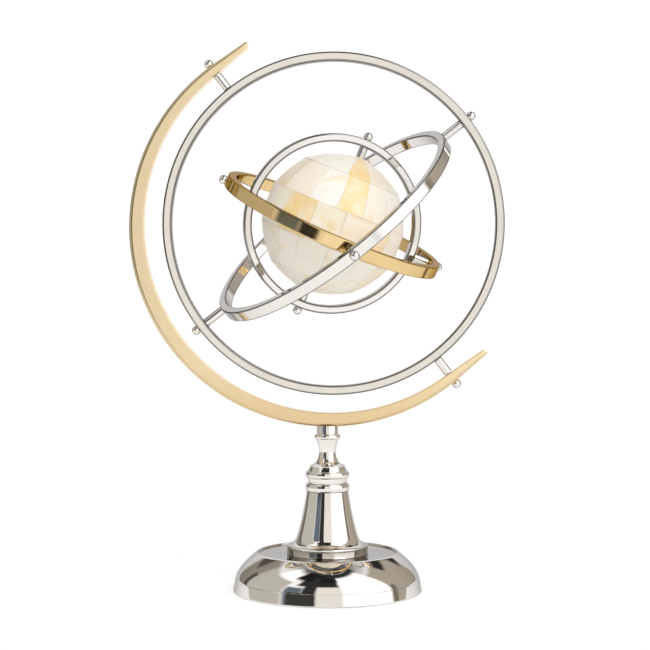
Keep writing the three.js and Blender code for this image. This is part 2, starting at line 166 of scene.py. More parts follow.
EDGE_STEPS = 6


def edge_weights(strong=(1, 1, 1, 1)):
    """How much painted edge shade each point of a rounded section takes from its four rounded edges."""
    count = EDGE_STEPS + 1
    round_edge = [math.sin(math.pi * (i + 0.5) / count) ** 0.5 for i in range(count)]
    weights = []
    for level in strong:
        weights += [0.0, *[level * amount for amount in round_edge], 0.0]
    return weights


def paint_edges(piece, weights, across):
    """Writes the painted edge shade weights of a swept section, laid out point by point or section by
    section.
    """
    count = len(piece.data.vertices)
    values = [weights[i // across] if across else weights[i % len(weights)] for i in range(count)]
    piece.data.attributes.new("edge", "FLOAT", "POINT").data.foreach_set("value", values)


def bend(a, c, b, steps):
    """Points of a curve from a to b that bends towards c."""
    points = []
    for i in range(steps + 1):
        t = i / steps
        points.append(
            tuple((1 - t) ** 2 * a[k] + 2 * t * (1 - t) * c[k] + t * t * b[k] for k in (0, 1))
        )
    return points


def rounded_section(inner, outer, half, inner_edge, outer_edge, steps=EDGE_STEPS):
    """Section of a bar between two radii, its four edges rounded, from the inside's lower edge.
    Each flat has a support point near its ends, which keeps its reflection flat."""
    hold = 0.15
    corners = [
        arc_points(outer - outer_edge, -half + outer_edge, outer_edge, -90, 0, steps),
        arc_points(outer - outer_edge, half - outer_edge, outer_edge, 0, 90, steps),
        arc_points(inner + inner_edge, half - inner_edge, inner_edge, 90, 180, steps),
        arc_points(inner + inner_edge, -half + inner_edge, inner_edge, 180, 270, steps),
    ]
    flats = [(0, 1), (-1, 0), (0, -1), (1, 0)]
    section = []
    for k, corner in enumerate(corners):
        before, after = flats[k - 1], flats[k]
        first, last = corner[0], corner[-1]
        section.append((first[0] - before[0] * hold, first[1] - before[1] * hold))
        section += corner
        section.append((last[0] + after[0] * hold, last[1] + after[1] * hold))
    return section


# ------------------------------------------------------------------ material helpers


class Nodes:
    """A short way to build a material's node tree."""

    def __init__(self, tree):
        self.tree = tree
        tree.nodes.clear()

    def add(self, kind, inputs=None, **settings):
        node = self.tree.nodes.new(kind)
        for key, value in settings.items():
            setattr(node, key, value)
        for key, value in (inputs or {}).items():
            if isinstance(value, bpy.types.NodeSocket):
                self.tree.links.new(value, node.inputs[key])
            else:
                node.inputs[key].default_value = value
        return node

    def math(self, operation, a, b=0.0, c=0.0):
        return self.add("ShaderNodeMath", {0: a, 1: b, 2: c}, operation=operation).outputs[0]

    def noise(self, vector, scale, detail=3.0, roughness=0.5, distortion=0.0):
        inputs = {
            "Vector": vector,
            "Scale": scale,
            "Detail": detail,
            "Roughness": roughness,
            "Distortion": distortion,
        }
        return self.add("ShaderNodeTexNoise", inputs).outputs["Fac"]

    def spread(self, value, low, high, start=0.0, end=1.0):
        """value from start..end mapped to low..high, clamped."""
        inputs = {"Value": value, 1: start, 2: end, 3: low, 4: high}
        return self.add("ShaderNodeMapRange", inputs).outputs[0]

    def blend(self, factor, a, b, mode="MIX"):
        node = self.add("ShaderNodeMix", data_type="RGBA", blend_type=mode)
        for socket, value in ((0, factor), (6, a), (7, b)):
            if isinstance(value, bpy.types.NodeSocket):
                self.tree.links.new(value, node.inputs[socket])
            else:
                node.inputs[socket].default_value = value
        return node.outputs[2]

    def bump(self, height, strength, distance):
        inputs = {"Height": height, "Strength": strength, "Distance": distance}
        return self.add("ShaderNodeBump", inputs).outputs[0]

    def finish(self, **inputs):
        sockets = {key.replace("_", " "): value for key, value in inputs.items()}
        shader = self.add("ShaderNodeBsdfPrincipled", sockets)
        out = self.add("ShaderNodeOutputMaterial")
        self.tree.links.new(shader.outputs[0], out.inputs[0])
        return shader


def new_material(name):
    material = bpy.data.materials.new(name)
    material.use_nodes = True
    return material, Nodes(material.node_tree)


def colour(r, g, b):
    return (r, g, b, 1.0)


def polished(name, light, deep, gloss, smudge, edge_shade_tone, grazing):
    """Mirror-polished plate: faint cloudy tone, soft smudges in the gloss, hairline polishing marks
    and painted dark shade along the rounded edges, standing in for their dark edge reflections."""
    material, n = new_material(name)
    where = n.add("ShaderNodeTexCoord").outputs["Object"]
    cloud = n.noise(where, 22, 4, 0.55)
    marks = n.noise(where, 900, 2, 0.5)
    film = n.noise(where, 60, 5, 0.6, 0.4)
    tone = n.blend(n.spread(cloud, 0.0, 1.0, 0.35, 0.65), light, deep)
    # painted shade: darkens the rounded edges, a painted dark edge reflection
    edge_shade = n.add("ShaderNodeAttribute", attribute_name="edge").outputs["Fac"]
    tone = n.blend(edge_shade, tone, edge_shade_tone)
    smudged = n.spread(film, gloss, gloss + smudge, 0.45, 0.75)
    roughness = n.math("ADD", smudged, n.spread(marks, 0.0, 0.01))
    n.finish(
        Base_Color=tone,
        Metallic=1.0,
        Roughness=roughness,
        Specular_Tint=grazing,
        Normal=n.bump(marks, 0.02, 0.0002),
    )
    return material


def satin_brass(name):
    """Fine satin brass, brushed along the arc's length."""
    material, n = new_material(name)
    where = n.add("ShaderNodeTexCoord").outputs["Object"]
    centred = n.add("ShaderNodeVectorMath", {0: where, 1: CENTRE}, operation="SUBTRACT").outputs[0]
    split = n.add("ShaderNodeSeparateXYZ", {0: centred})
    radius = n.add("ShaderNodeVectorMath", {0: centred}, operation="LENGTH").outputs["Value"]
    angle = n.math("ARCTAN2", split.outputs[2], split.outputs[0])
    along = n.add(
        "ShaderNodeCombineXYZ",
        {0: n.math("MULTIPLY", radius, 60.0), 1: n.math("MULTIPLY", split.outputs[1], 60.0), 2: angle},
    ).outputs[0]
    grain = n.noise(along, 60, 3, 0.5)
    cloud = n.noise(where, 12, 3, 0.5)
    brushed = n.spread(grain, 0.0, 1.0, 0.3, 0.7)
    tone = n.blend(brushed, colour(0.93, 0.76, 0.49), colour(0.96, 0.80, 0.54))
    tone = n.blend(n.spread(cloud, 0.0, 0.3, 0.4, 0.7), tone, colour(0.94, 0.75, 0.46))
    # painted shade: the arc is darker towards its bottom, where less light falls
    low = n.spread(split.outputs[2], 0.8, 0.0, -0.172, -0.125)
    tone = n.blend(low, tone, colour(0.80, 0.60, 0.33))
    # painted shade: darkens the arc's rounded edges, a painted dark edge reflection
    edge_shade = n.add("ShaderNodeAttribute", attribute_name="edge").outputs["Fac"]
    tone = n.blend(n.math("MULTIPLY", edge_shade, 0.6), tone, colour(0.55, 0.42, 0.22))
    roughness = n.math("ADD", n.spread(grain, 0.25, 0.29, 0.3, 0.7), n.spread(cloud, 0.0, 0.03))
    n.finish(Base_Color=tone, Metallic=1.0, Roughness=roughness, Normal=n.bump(grain, 0.02, 0.0002))
    return material


def onyx(name):
    """Cream onyx tiles, each with its own tone, cloudy depth and fine amber veins."""
    material, n = new_material(name)
    where = n.add("ShaderNodeTexCoord").outputs["Object"]
    tile = n.add("ShaderNodeAttribute", attribute_name="tile")
    tone = tile.outputs["Color"]
    shift = n.add("ShaderNodeVectorMath", {0: tone, 1: (7.0, 5.0, 3.0)}, operation="MULTIPLY").outputs[0]
    local = n.add("ShaderNodeVectorMath", {0: where, 1: shift}, operation="ADD").outputs[0]
    cloud = n.noise(local, 45, 5, 0.6, 0.8)
    vein = n.noise(local, 26, 6, 0.65, 1.6)
    line = n.math("ABSOLUTE", n.math("SUBTRACT", vein, 0.5))
    veined = n.spread(line, 0.5, 0.0, 0.0, 0.035)
    body = n.blend(n.spread(cloud, 0.0, 0.6, 0.42, 0.7), tone, colour(0.94, 0.90, 0.83))
    stain = n.noise(local, 34, 4, 0.55, 0.9)
    body = n.blend(n.spread(stain, 0.0, 0.75, 0.57, 0.7), body, colour(0.91, 0.70, 0.41))
    body = n.blend(n.math("MULTIPLY", veined, 0.35), body, colour(0.78, 0.62, 0.42))
    seam = n.add("ShaderNodeAttribute", attribute_name="seam").outputs["Fac"]
    patchy = n.spread(n.noise(where, 30, 3), 0.0, 0.35, 0.45, 0.7)
    body = n.blend(n.math("MULTIPLY", seam, patchy), body, colour(0.76, 0.62, 0.45))
    roughness = n.spread(cloud, 0.3, 0.42, 0.3, 0.7)
    n.finish(
        Base_Color=body,
        Roughness=roughness,
        Specular_IOR_Level=0.5,
        Subsurface_Weight=0.15,
        Subsurface_Radius=(0.006, 0.004, 0.0025),
        Subsurface_Scale=1.0,
        Coat_Weight=0.12,
        Coat_Roughness=0.2,
        Normal=n.bump(cloud, 0.03, 0.0005),
    )
    return material


def grout(name):
    """Gritty bed that the tiles are laid in."""
    material, n = new_material(name)
    where = n.add("ShaderNodeTexCoord").outputs["Object"]
    grit = n.noise(where, 700, 4, 0.6)
    tone = n.blend(grit, colour(0.70, 0.60, 0.46), colour(0.80, 0.72, 0.58))
    n.finish(Base_Color=tone, Roughness=0.7, Normal=n.bump(grit, 0.2, 0.0002))
    return material


def plain_steel(name):
    """Turned steel of the hidden fasteners."""
    material, n = new_material(name)
    where = n.add("ShaderNodeTexCoord").outputs["Object"]
    grain = n.noise(where, 500, 3, 0.6)
    tone = n.blend(grain, colour(0.48, 0.48, 0.47), colour(0.62, 0.62, 0.60))
    n.finish(
        Base_Color=tone,
        Metallic=1.0,
        Roughness=n.spread(grain, 0.3, 0.45),
        Normal=n.bump(grain, 0.1, 0.0002),
    )
    return material


def cast_iron(name):
    """Rough casting with a little rust."""
    material, n = new_material(name)
    where = n.add("ShaderNodeTexCoord").outputs["Object"]
    skin = n.noise(where, 350, 6, 0.7)
    rust = n.noise(where, 40, 5, 0.6)
    rusty = n.spread(rust, 0.0, 0.5, 0.5, 0.75)
    tone = n.blend(rusty, colour(0.07, 0.068, 0.065), colour(0.16, 0.09, 0.05))
    n.finish(Base_Color=tone, Metallic=0.6, Roughness=0.75, Normal=n.bump(skin, 0.6, 0.0008))
    return material


def felt(name):
    """Dark green felt."""
    material, n = new_material(name)
    where = n.add("ShaderNodeTexCoord").outputs["Object"]
    fibre = n.noise(where, 1400, 6, 0.8, 1.5)
    patch = n.noise(where, 60, 3, 0.5)
    tone = n.blend(fibre, colour(0.015, 0.03, 0.02), colour(0.05, 0.085, 0.06))
    tone = n.blend(n.spread(patch, 0.0, 0.3, 0.4, 0.7), tone, colour(0.03, 0.06, 0.04))
    n.finish(
        Base_Color=tone,
        Roughness=0.95,
        Sheen_Weight=0.5,
        Sheen_Roughness=0.5,
        Normal=n.bump(fibre, 0.8, 0.0006),
    )
    return material


def core_wood(name):
    """Turned wood with its growth rings."""
    material, n = new_material(name)
    where = n.add("ShaderNodeTexCoord").outputs["Object"]
    rings = n.add(
        "ShaderNodeTexWave",
        {"Vector": where, "Scale": 60.0, "Distortion": 4.0, "Detail": 3.0},
        wave_type="RINGS",
    ).outputs["Fac"]
    tone = n.blend(rings, colour(0.42, 0.27, 0.13), colour(0.56, 0.39, 0.20))
    n.finish(Base_Color=tone, Roughness=0.6, Normal=n.bump(rings, 0.1, 0.0003))
    return material


NICKEL = polished(
    "polished_nickel",
    colour(0.85, 0.82, 0.78),
    colour(0.81, 0.78, 0.74),
    0.03,
    0.03,
    # painted dark edge reflection colour
    colour(0.22, 0.21, 0.21),
    colour(0.50, 0.50, 0.51),
)
SMALL_NICKEL = polished(
    "turned_nickel",
    colour(0.84, 0.82, 0.79),
    colour(0.79, 0.77, 0.74),
    0.04,
    0.03,
    # painted dark edge reflection colour
    colour(0.30, 0.28, 0.27),
    colour(0.02, 0.02, 0.02),
)
BRASS = polished(
    "polished_brass",
    colour(0.85, 0.65, 0.34),
    colour(0.79, 0.58, 0.28),
    0.06,
    0.05,
    # painted dark edge reflection colour
    colour(0.60, 0.44, 0.21),
    colour(0.40, 0.30, 0.18),
)
SATIN = satin_brass("satin_brass")
ONYX = onyx("cream_onyx")
STEEL = plain_steel("plain_steel")
IRON = cast_iron("cast_iron")
FELT = felt("felt")
WOOD = core_wood("core_wood")
BED = grout("tile_bed")

# ------------------------------------------------------------------ base and pedestal


def span(node):
    """Lowest and highest z of a CAD node, in mm."""
    low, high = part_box(node)
    return low.z / MM, high.z / MM


def widest(node):
    """Radius of a turned CAD node that stands on the Z axis, in mm."""
    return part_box(node)[1].x / MM


def turn_up(name, outline, material=NICKEL, slot="polished_nickel", segments=160, sharp=35):
    """A piece turned about the stand's own axis, in place of its CAD node."""
    origin = Vector((0, 0, 0))
    piece = revolve(f"{name}_fine", outline, origin, UP, segments, "stand", slot, material, sharp)
    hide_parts(name)
    return piece


ROD_HOLE = 3.3
LIP = 0.8
PLINTH_H = 11.2
PLINTH_DRAFT = 1.7
PLINTH_STEP = (0.35, 0.25)  # ledge between the band and the dome: inwards, upwards
SHOULDER = (17.5, 13.0)  # dome's bend: beyond the rim, below the top
RIM_R = 63.0
RIM_W = 1.5
RIM_ROUND = 0.75
DISH_DEPTH = 1.6
DISH_FILLET = 0.5
WALL = 1.8
BASE_SEGMENTS = 224


def base_shell():
    """Band, dome, rim and dish outside, and the hollow a wall's thickness in."""
    low, high = span("base_shell")
    radius = widest("base_shell")
    floor = high - DISH_DEPTH
    ceiling = floor - WALL
    plinth_top = (radius - PLINTH_DRAFT, PLINTH_H)
    shoulder = (RIM_R + SHOULDER[0], high - SHOULDER[1])
    dome_foot = (plinth_top[0] - PLINTH_STEP[0], plinth_top[1] + PLINTH_STEP[1])
    dome = bend(dome_foot, shoulder, (RIM_R, high), 28)
    inner = [(x - WALL, y - WALL / 2) for x, y in dome if y < ceiling - WALL]
    outline = [
        *arc_points(radius - LIP, low + LIP, LIP, -90, 0, 5),
        (radius - 0.03, low + 1.0),
        (plinth_top[0] + 0.03, plinth_top[1] - 0.2),
        (plinth_top[0], plinth_top[1]),
        *dome,
        *arc_points(RIM_R - RIM_W / 2 - 0.2, high - 0.5, RIM_ROUND, 60, 180, 8),
        (RIM_R - RIM_W, floor + DISH_FILLET + 0.1),
        *arc_points(RIM_R - RIM_W - DISH_FILLET, floor + DISH_FILLET, DISH_FILLET, 0, -90, 4),
        (ROD_HOLE, floor),
        (ROD_HOLE, ceiling),
        (inner[-1][0] - WALL, ceiling),
        *reversed(inner),
        (radius - LIP - WALL, low),
    ]
    return turn_up("base_shell", outline, segments=BASE_SEGMENTS)


def felt_pad():
    """Felt disc with a soft lower edge."""
    low, high = span("felt_pad")
    radius = widest("felt_pad")
    edge = 0.4
    outline = [
        (0, low),
        (radius - edge, low),
        *arc_points(radius - edge, low + edge, edge, -90, 0, 3)[1:],
        (radius, high),
        (0, high),
    ]
    return turn_up("felt_pad", outline, FELT, "felt", 128)


FLANGE_H = 8.1
FLANGE_EDGE = 0.9
FLANGE_FOOT_EDGE = 0.5
FLARE_FOOT_R = 34.0
FLARE_TOP_R = 18.6
HEEL = (26.9, 16.1)  # where the flare turns out sharply: radius, height over the dish
HEEL_BEND = (28.6, 9.9)  # bends of the flare below and above its heel
WAIST_BEND = (22.4, 30.6)


def column():
    """Flange with rounded edges, then the flare: sharp below its heel, gentle above it."""
    low, high = span("column")
    radius = widest("column")
    flange = low + FLANGE_H
    heel = (HEEL[0], low + HEEL[1])
    outline = [
        (ROD_HOLE, low),
        (radius - FLANGE_FOOT_EDGE, low),
        *arc_points(radius - FLANGE_FOOT_EDGE, low + FLANGE_FOOT_EDGE, FLANGE_FOOT_EDGE, -90, 0, 3)[1:],
        (radius, flange - FLANGE_EDGE - 0.2),
        *arc_points(radius - FLANGE_EDGE, flange - FLANGE_EDGE, FLANGE_EDGE, 0, 90, 6),
        *bend((FLARE_FOOT_R, flange), (HEEL_BEND[0], low + HEEL_BEND[1]), heel, 14),
        *bend(heel, (WAIST_BEND[0], low + WAIST_BEND[1]), (FLARE_TOP_R, high), 20)[1:],
        (ROD_HOLE, high),
    ]
    return turn_up("column", outline)


def half_round(root, low, high, crown, steps=10):
    """A bead's points from the bottom up."""
    middle = (low + high) / 2
    return [
        (root + (crown - root) * math.cos(a), middle + (high - low) / 2 * math.sin(a))
        for a in (-math.pi / 2 + math.pi * i / steps for i in range(steps + 1))
    ]


COLLAR_BULGE = 1.7
COLLAR_LOW_BEAD = 7.4
COLLAR_HIGH_BEAD = 6.0
COLLAR_CAP = 4.4
COLLAR_BAND_R = 17.3
COLLAR_GROOVE_R = 16.4
COLLAR_GROOVE_H = 1.1
NECK_FOOT_R = 15.4


def collar():
    """Two beads with a band and a groove between them, under a sloping cap."""
    low, high = span("collar")
    crown = widest("collar")
    root = crown - COLLAR_BULGE
    low_top = low + COLLAR_LOW_BEAD
    high_top = high - COLLAR_CAP
    high_low = high_top - COLLAR_HIGH_BEAD
    outline = [
        (ROD_HOLE, low),
        *half_round(root, low, low_top, crown),
        (COLLAR_GROOVE_R, low_top + 0.05),
        (COLLAR_GROOVE_R, low_top + COLLAR_GROOVE_H),
        (COLLAR_BAND_R - 0.2, low_top + COLLAR_GROOVE_H),
        (COLLAR_BAND_R, low_top + COLLAR_GROOVE_H + 0.2),
        (COLLAR_BAND_R, high_low - 0.1),
        *half_round(root, high_low, high_top, crown),
        *bend((root - 0.2, high_top + 0.1), (NECK_FOOT_R + 1.2, high - 2.6), (NECK_FOOT_R, high), 8),
        (ROD_HOLE, high),
    ]
    return turn_up("collar", outline)


NECK_FOOT_EDGE = 0.6
NECK_WAIST = (7.5, 12.6)
NECK_SHOULDER_R = 10.0
NECK_BEAD_AT = 26.2
NECK_BEAD_H = 4.4
NECK_BEAD_R = 11.6
NECK_TOP_R = 9.5
NECK_BENDS = (3.2, 6.0)


def neck():
    """Waisted baluster with one bead."""
    low, high = span("neck")
    foot_r = widest("neck")
    waist_z = low + NECK_WAIST[1]
    bead_low = low + NECK_BEAD_AT - NECK_BEAD_H / 2
    bead_high = bead_low + NECK_BEAD_H
    waist = (NECK_WAIST[0], waist_z)
    shoulder = (NECK_SHOULDER_R, bead_low)
    outline = [
        (0, low),
        (foot_r, low),
        *bend((foot_r, low + NECK_FOOT_EDGE), (waist[0], low + NECK_BENDS[0]), waist, 16),
        *bend(waist, (waist[0], waist_z + NECK_BENDS[1]), shoulder, 10)[1:-1],
        *half_round(NECK_SHOULDER_R, bead_low, bead_high, NECK_BEAD_R),
        (NECK_TOP_R + 0.2, bead_high + 0.05),
        (NECK_TOP_R, bead_high + 0.3),
        (NECK_TOP_R, high),
        (0, high),
    ]
    return turn_up("neck", outline, segments=128)


# ------------------------------------------------------------------ arc


def line_radius(p, q, angle):
    """Distance from the centre to the straight line p-q at an angle; p and q are (radius, angle)."""
    x1, y1 = p[0] * math.cos(p[1]), p[0] * math.sin(p[1])
    x2, y2 = q[0] * math.cos(q[1]), q[0] * math.sin(q[1])
    dx, dy = x2 - x1, y2 - y1
    return (x1 * dy - y1 * dx) / (math.cos(angle) * dy - math.sin(angle) * dx)


def arc():
    """The crescent bar: a section swept through the arc's span, closed by flat tips."""
    first = AXES[0]
    middle = -(first.cross(Vector((0, 1, 0)))).normalized()
    if middle.z > 0:
        middle = -middle
    across = Vector((0, 1, 0))
    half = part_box("arc")[1].y / MM
    vertices = [v.co - CENTRE for v in frame["nodes"]["arc"].data.vertices]
    at_side = [v for v in vertices if abs(v.y) > 0.9 * half * MM]
    inner_r = min(v.length for v in at_side if v.normalized().dot(middle) > 0.5) / MM
    outer_r = inner_r + ARC_T
    tip_r = outer_r + ARC_TIP_RISE

    # past the pivots the outside runs straight, along the tangent from the tip to the outer circle
    corner = Vector((tip_r * math.cos(ARC_HALF_SPAN) - ARC_SWELL, tip_r * math.sin(ARC_HALF_SPAN)))
    touch = math.atan2(corner.y, corner.x) - math.acos(outer_r / corner.length)
    touch_at = (ARC_SWELL + outer_r * math.cos(touch), outer_r * math.sin(touch))
    leave = (math.hypot(*touch_at), math.atan2(touch_at[1], touch_at[0]))

    def outer_at(a):
        if abs(a) > leave[1]:
            return line_radius(leave, (tip_r, ARC_HALF_SPAN), abs(a))
        return ARC_SWELL * math.cos(a) + math.sqrt(outer_r**2 - (ARC_SWELL * math.sin(a)) ** 2)

    start, tip = (inner_r, ARC_TAPER_FROM), (tip_r - ARC_TIP_T, ARC_HALF_SPAN)

    def inner_at(a):
        return inner_r if abs(a) < ARC_TAPER_FROM else line_radius(start, tip, abs(a))

    points, rings = [], []
    angles = [ARC_HALF_SPAN * (2 * i / ARC_STEPS - 1) for i in range(ARC_STEPS + 1)]
    for angle in angles:
        last = abs(abs(angle) - ARC_HALF_SPAN) < 1e-6
        edge = ARC_TIP_INSET if last else 0.0
        section = rounded_section(
            inner_at(angle) + edge,
            outer_at(angle) - edge,
            half - edge,
            ARC_INNER_EDGE,
            min(ARC_OUTER_EDGE, (outer_at(angle) - inner_at(angle)) * 0.4),
        )
        way = middle * math.cos(angle) + first * math.sin(angle)
        rings.append(range(len(points), len(points) + len(section)))
        points += [CENTRE + way * r * MM + across * h * MM for r, h in section]
    count = len(rings[0])
    faces = [list(reversed(rings[0])), list(rings[-1])]
    for low, high in zip(rings, rings[1:]):
        faces += [[low[i], low[(i + 1) % count], high[(i + 1) % count], high[i]] for i in range(count)]
    piece = add_mesh("arc_fine", points, faces, "stand", SATIN)
    # weights of the painted dark edge shade
    paint_edges(piece, edge_weights(ARC_EDGE_SHADE), 0)
    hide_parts("arc")
    return piece


# ------------------------------------------------------------------ rings, pins and sleeves


def ring(number):
    """A fine ring, its radii and width measured on the CAD ring."""
    name = f"ring_{number}"
    outer_axis, inner_axis = AXES[number - 1], AXES[number]
    normal = outer_axis.cross(inner_axis).normalized()
    sizes = []
    for vertex in frame["nodes"][name].data.vertices:
        out = vertex.co - CENTRE
        height = out.dot(normal)
        sizes.append(((out - normal * height).length / MM, abs(height) / MM))
    outer = max(s[0] for s in sizes)
    half = max(s[1] for s in sizes)
    inner = min(s[0] for s in sizes if s[1] < half * 0.999)
    edge = RING_EDGE[name]
    section = rounded_section(inner, outer, half, edge, edge)
    brass = number == 3
    piece = revolve(
        f"{name}_fine",
        section,
        CENTRE,
        normal,
        RING_SEGMENTS,
        BODIES[number - 1],
        "polished_brass" if brass else "polished_nickel",
        BRASS if brass else NICKEL,
    )
    # weights of the painted dark edge shade
    paint_edges(piece, edge_weights(), RING_SEGMENTS)
    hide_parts(name)
    return piece


def reach(node, axis):
    """Where a CAD node starts and ends along an axis from the centre, in mm."""
    along = [(v.co - CENTRE).dot(axis) / MM for v in frame["nodes"][node].data.vertices]
    return min(along), max(along)


def pin_and_sleeve(number, end, sign):
    """A ball-headed pin at one end of a pivot line, and the sleeve round it."""
    axis = AXES[number - 1] * sign
    body = BODIES[number - 1]
    name = f"pivot_pin_{number}{end}"
    low, high = reach(name, axis)
    ball_at = high - BALL_R
    neck_angle = math.degrees(math.asin(PIN_R * 1.25 / BALL_R))
    outline = [
        (0, low),
        (PIN_R - 0.2, low),
        (PIN_R, low + 0.2),
        (PIN_R, ball_at - BALL_R * 0.98),
        *arc_points(0, ball_at, BALL_R, -90 + neck_angle, 88, 24),
        (0, high),
    ]
    finish = ("polished_nickel", SMALL_NICKEL)
    pin = revolve(f"{name}_fine", outline, CENTRE, axis, PIN_SEGMENTS, body, *finish)
    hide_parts(name)
    name = f"spacer_sleeve_{number}{end}"
    low, high = reach(name, axis)
    points = [v.co - CENTRE for v in frame["nodes"][name].data.vertices]
    radius = max((point - axis * point.dot(axis)).length for point in points) / MM
    e = SLEEVE_EDGE
    outline = [
        (PIN_R + 0.1, low),
        (radius - e, low),
        *arc_points(radius - e, low + e, e, -90, 0, 3)[1:],
        (radius, low + e + 0.1),
        (radius, high - e - 0.1),
        *arc_points(radius - e, high - e, e, 0, 90, 3),
        (PIN_R + 0.1, high),
    ]
    sleeve = revolve(f"{name}_fine", outline, CENTRE, axis, PIN_SEGMENTS, body, *finish)
    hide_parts(name)


# ------------------------------------------------------------------ globe

# Each row of tiles: polar angles of its upper and lower edges, in degrees, and how many tiles.
TILE_ROWS = [(2.2, 45, 12), (45, 77, 15), (77, 108, 16), (108, 141, 14), (141, 177.8, 10)]
TILE_STEPS = (0, 0.015, 0.06, 0.28, 0.5, 0.72, 0.94, 0.985, 1)
TILE_DEEP = 2.2
TILE_GAP = 0.05
TILE_PROUD = 0.8  # the most that a flattened tile may stand out of the sphere
HONEY_TILE = (-4.0, 27.0)  # left edge and width in degrees of the amber tile under the upper sleeve
CREAMS = [
    (0.93, 0.87, 0.77),
    (0.91, 0.82, 0.67),
    (0.94, 0.89, 0.81),
    (0.89, 0.77, 0.58),
    (0.92, 0.84, 0.70),
    (0.90, 0.80, 0.64),
    (0.93, 0.86, 0.75),
]
HONEYS = [(0.92, 0.66, 0.31), (0.90, 0.72, 0.44)]


def globe_point(pole, east, north, polar, around, radius):
    """Point at a polar angle from the upper pole and an angle around it, in degrees."""
    p, a = math.radians(polar), math.radians(around)
    flat = east * math.cos(a) + north * math.sin(a)
    return (pole * math.cos(p) + flat * math.sin(p)) * radius


def tile_layout(rng):
    """Every tile as (upper, lower, left, right, tone), angles in degrees."""
    tiles = []
    for row, (upper, lower, count) in enumerate(TILE_ROWS):
        widths = [rng.uniform(0.75, 1.3) for _ in range(count)]
        left = rng.uniform(0, 360)
        if row == 0:
            left, first = HONEY_TILE
            scale = (360 - first) / sum(widths[1:])
            widths = [first / scale] + widths[1:]
        scale = 360 / sum(widths)
        for k, width in enumerate(widths):
            tone = rng.choice(HONEYS if rng.random() < 0.06 else CREAMS)
            tone = HONEYS[0] if row == 0 and k == 0 else tone
            tone = tuple(min(1.0, c * rng.uniform(0.97, 1.02)) for c in tone)
            tiles.append((upper, lower, left, left + width * scale, tone))
            left += width * scale
    return tiles


def grid_rim(steps):
    """Places round the border of a square grid of points that is counted row by row."""
    rim = [i * steps for i in range(steps)]
    rim += [(steps - 1) * steps + j for j in range(1, steps)]
    rim += [i * steps + steps - 1 for i in range(steps - 2, -1, -1)]
    rim += [j for j in range(steps - 2, 0, -1)]
    return rim


def globe():
    """The inlaid skin: closed tiles, slightly flattened, with fine seams over a bed of grout."""
    pole = AXES[4]
    radius = max((v.co - CENTRE).length for v in frame["nodes"]["globe_inlay"].data.vertices) / MM
    toward = Vector((0, -1, 0))
    east = (toward - pole * toward.dot(pole)).normalized()
    north = pole.cross(east).normalized()
    points, faces, tones, seams = [], [], [], []
    steps = len(TILE_STEPS)
    for upper, lower, left, right, tone in tile_layout(random.Random(11)):
        middle = globe_point(pole, east, north, (upper + lower) / 2, (left + right) / 2, 1)
        corner = globe_point(pole, east, north, lower, left, 1)
        flat_at = radius * (0.5 + 0.5 * corner.dot(middle))
        layers = []
        for deep in (False, True):
            layer = []
            for i, t in enumerate(TILE_STEPS):
                for j, u in enumerate(TILE_STEPS):
                    polar = upper + (lower - upper) * t
                    polar += (0.5 - t) * 2 * math.degrees(TILE_GAP / radius)
                    around = left + (right - left) * u
                    gap = TILE_GAP / radius / math.sin(math.radians(polar))
                    around += (0.5 - u) * 2 * math.degrees(gap)
                    way = globe_point(pole, east, north, polar, around, 1)
                    r = radius + (flat_at / way.dot(middle) - radius) * TILE_FLATTEN
                    at_edge = i in (0, steps - 1) or j in (0, steps - 1)
                    r = min(r, radius + TILE_PROUD) - (TILE_GROOVE if at_edge else 0)
                    r = radius - TILE_DEEP if deep else r
                    layer.append(len(points))
                    points.append(CENTRE + way * r * MM)
                    tones.append(tone)
                    near = i in (0, 1, steps - 2, steps - 1) or j in (0, 1, steps - 2, steps - 1)
                    seams.append(1.0 if near else 0.0)
            layers.append(layer)
        top, bed = layers
        for i in range(steps - 1):
            for j in range(steps - 1):
                cell = [i * steps + j, (i + 1) * steps + j, (i + 1) * steps + j + 1, i * steps + j + 1]
                faces.append([top[k] for k in cell])
                faces.append([bed[k] for k in reversed(cell)])
        rim = grid_rim(steps)
        for k, here in enumerate(rim):
            there = rim[(k + 1) % len(rim)]
            faces.append([top[there], top[here], bed[here], bed[there]])
    piece = add_mesh("globe_inlay_fine", points, faces, BODIES[4], ONYX, 60)
    paint = piece.data.color_attributes.new("tile", "FLOAT_COLOR", "POINT")
    paint.data.foreach_set("color", [c for tone in tones for c in (*tone, 1.0)])
    seam = piece.data.attributes.new("seam", "FLOAT", "POINT")
    seam.data.foreach_set("value", seams)
    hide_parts("globe_inlay")
    bed_r = radius - GROUT_BELOW
    outline = [(0, -bed_r), *arc_points(0, 0, bed_r, -89, 89, 60), (0, bed_r)]
    revolve("globe_grout", outline, CENTRE, pole, 96, BODIES[4], "inlay", BED)


# ------------------------------------------------------------------ stage, world and camera


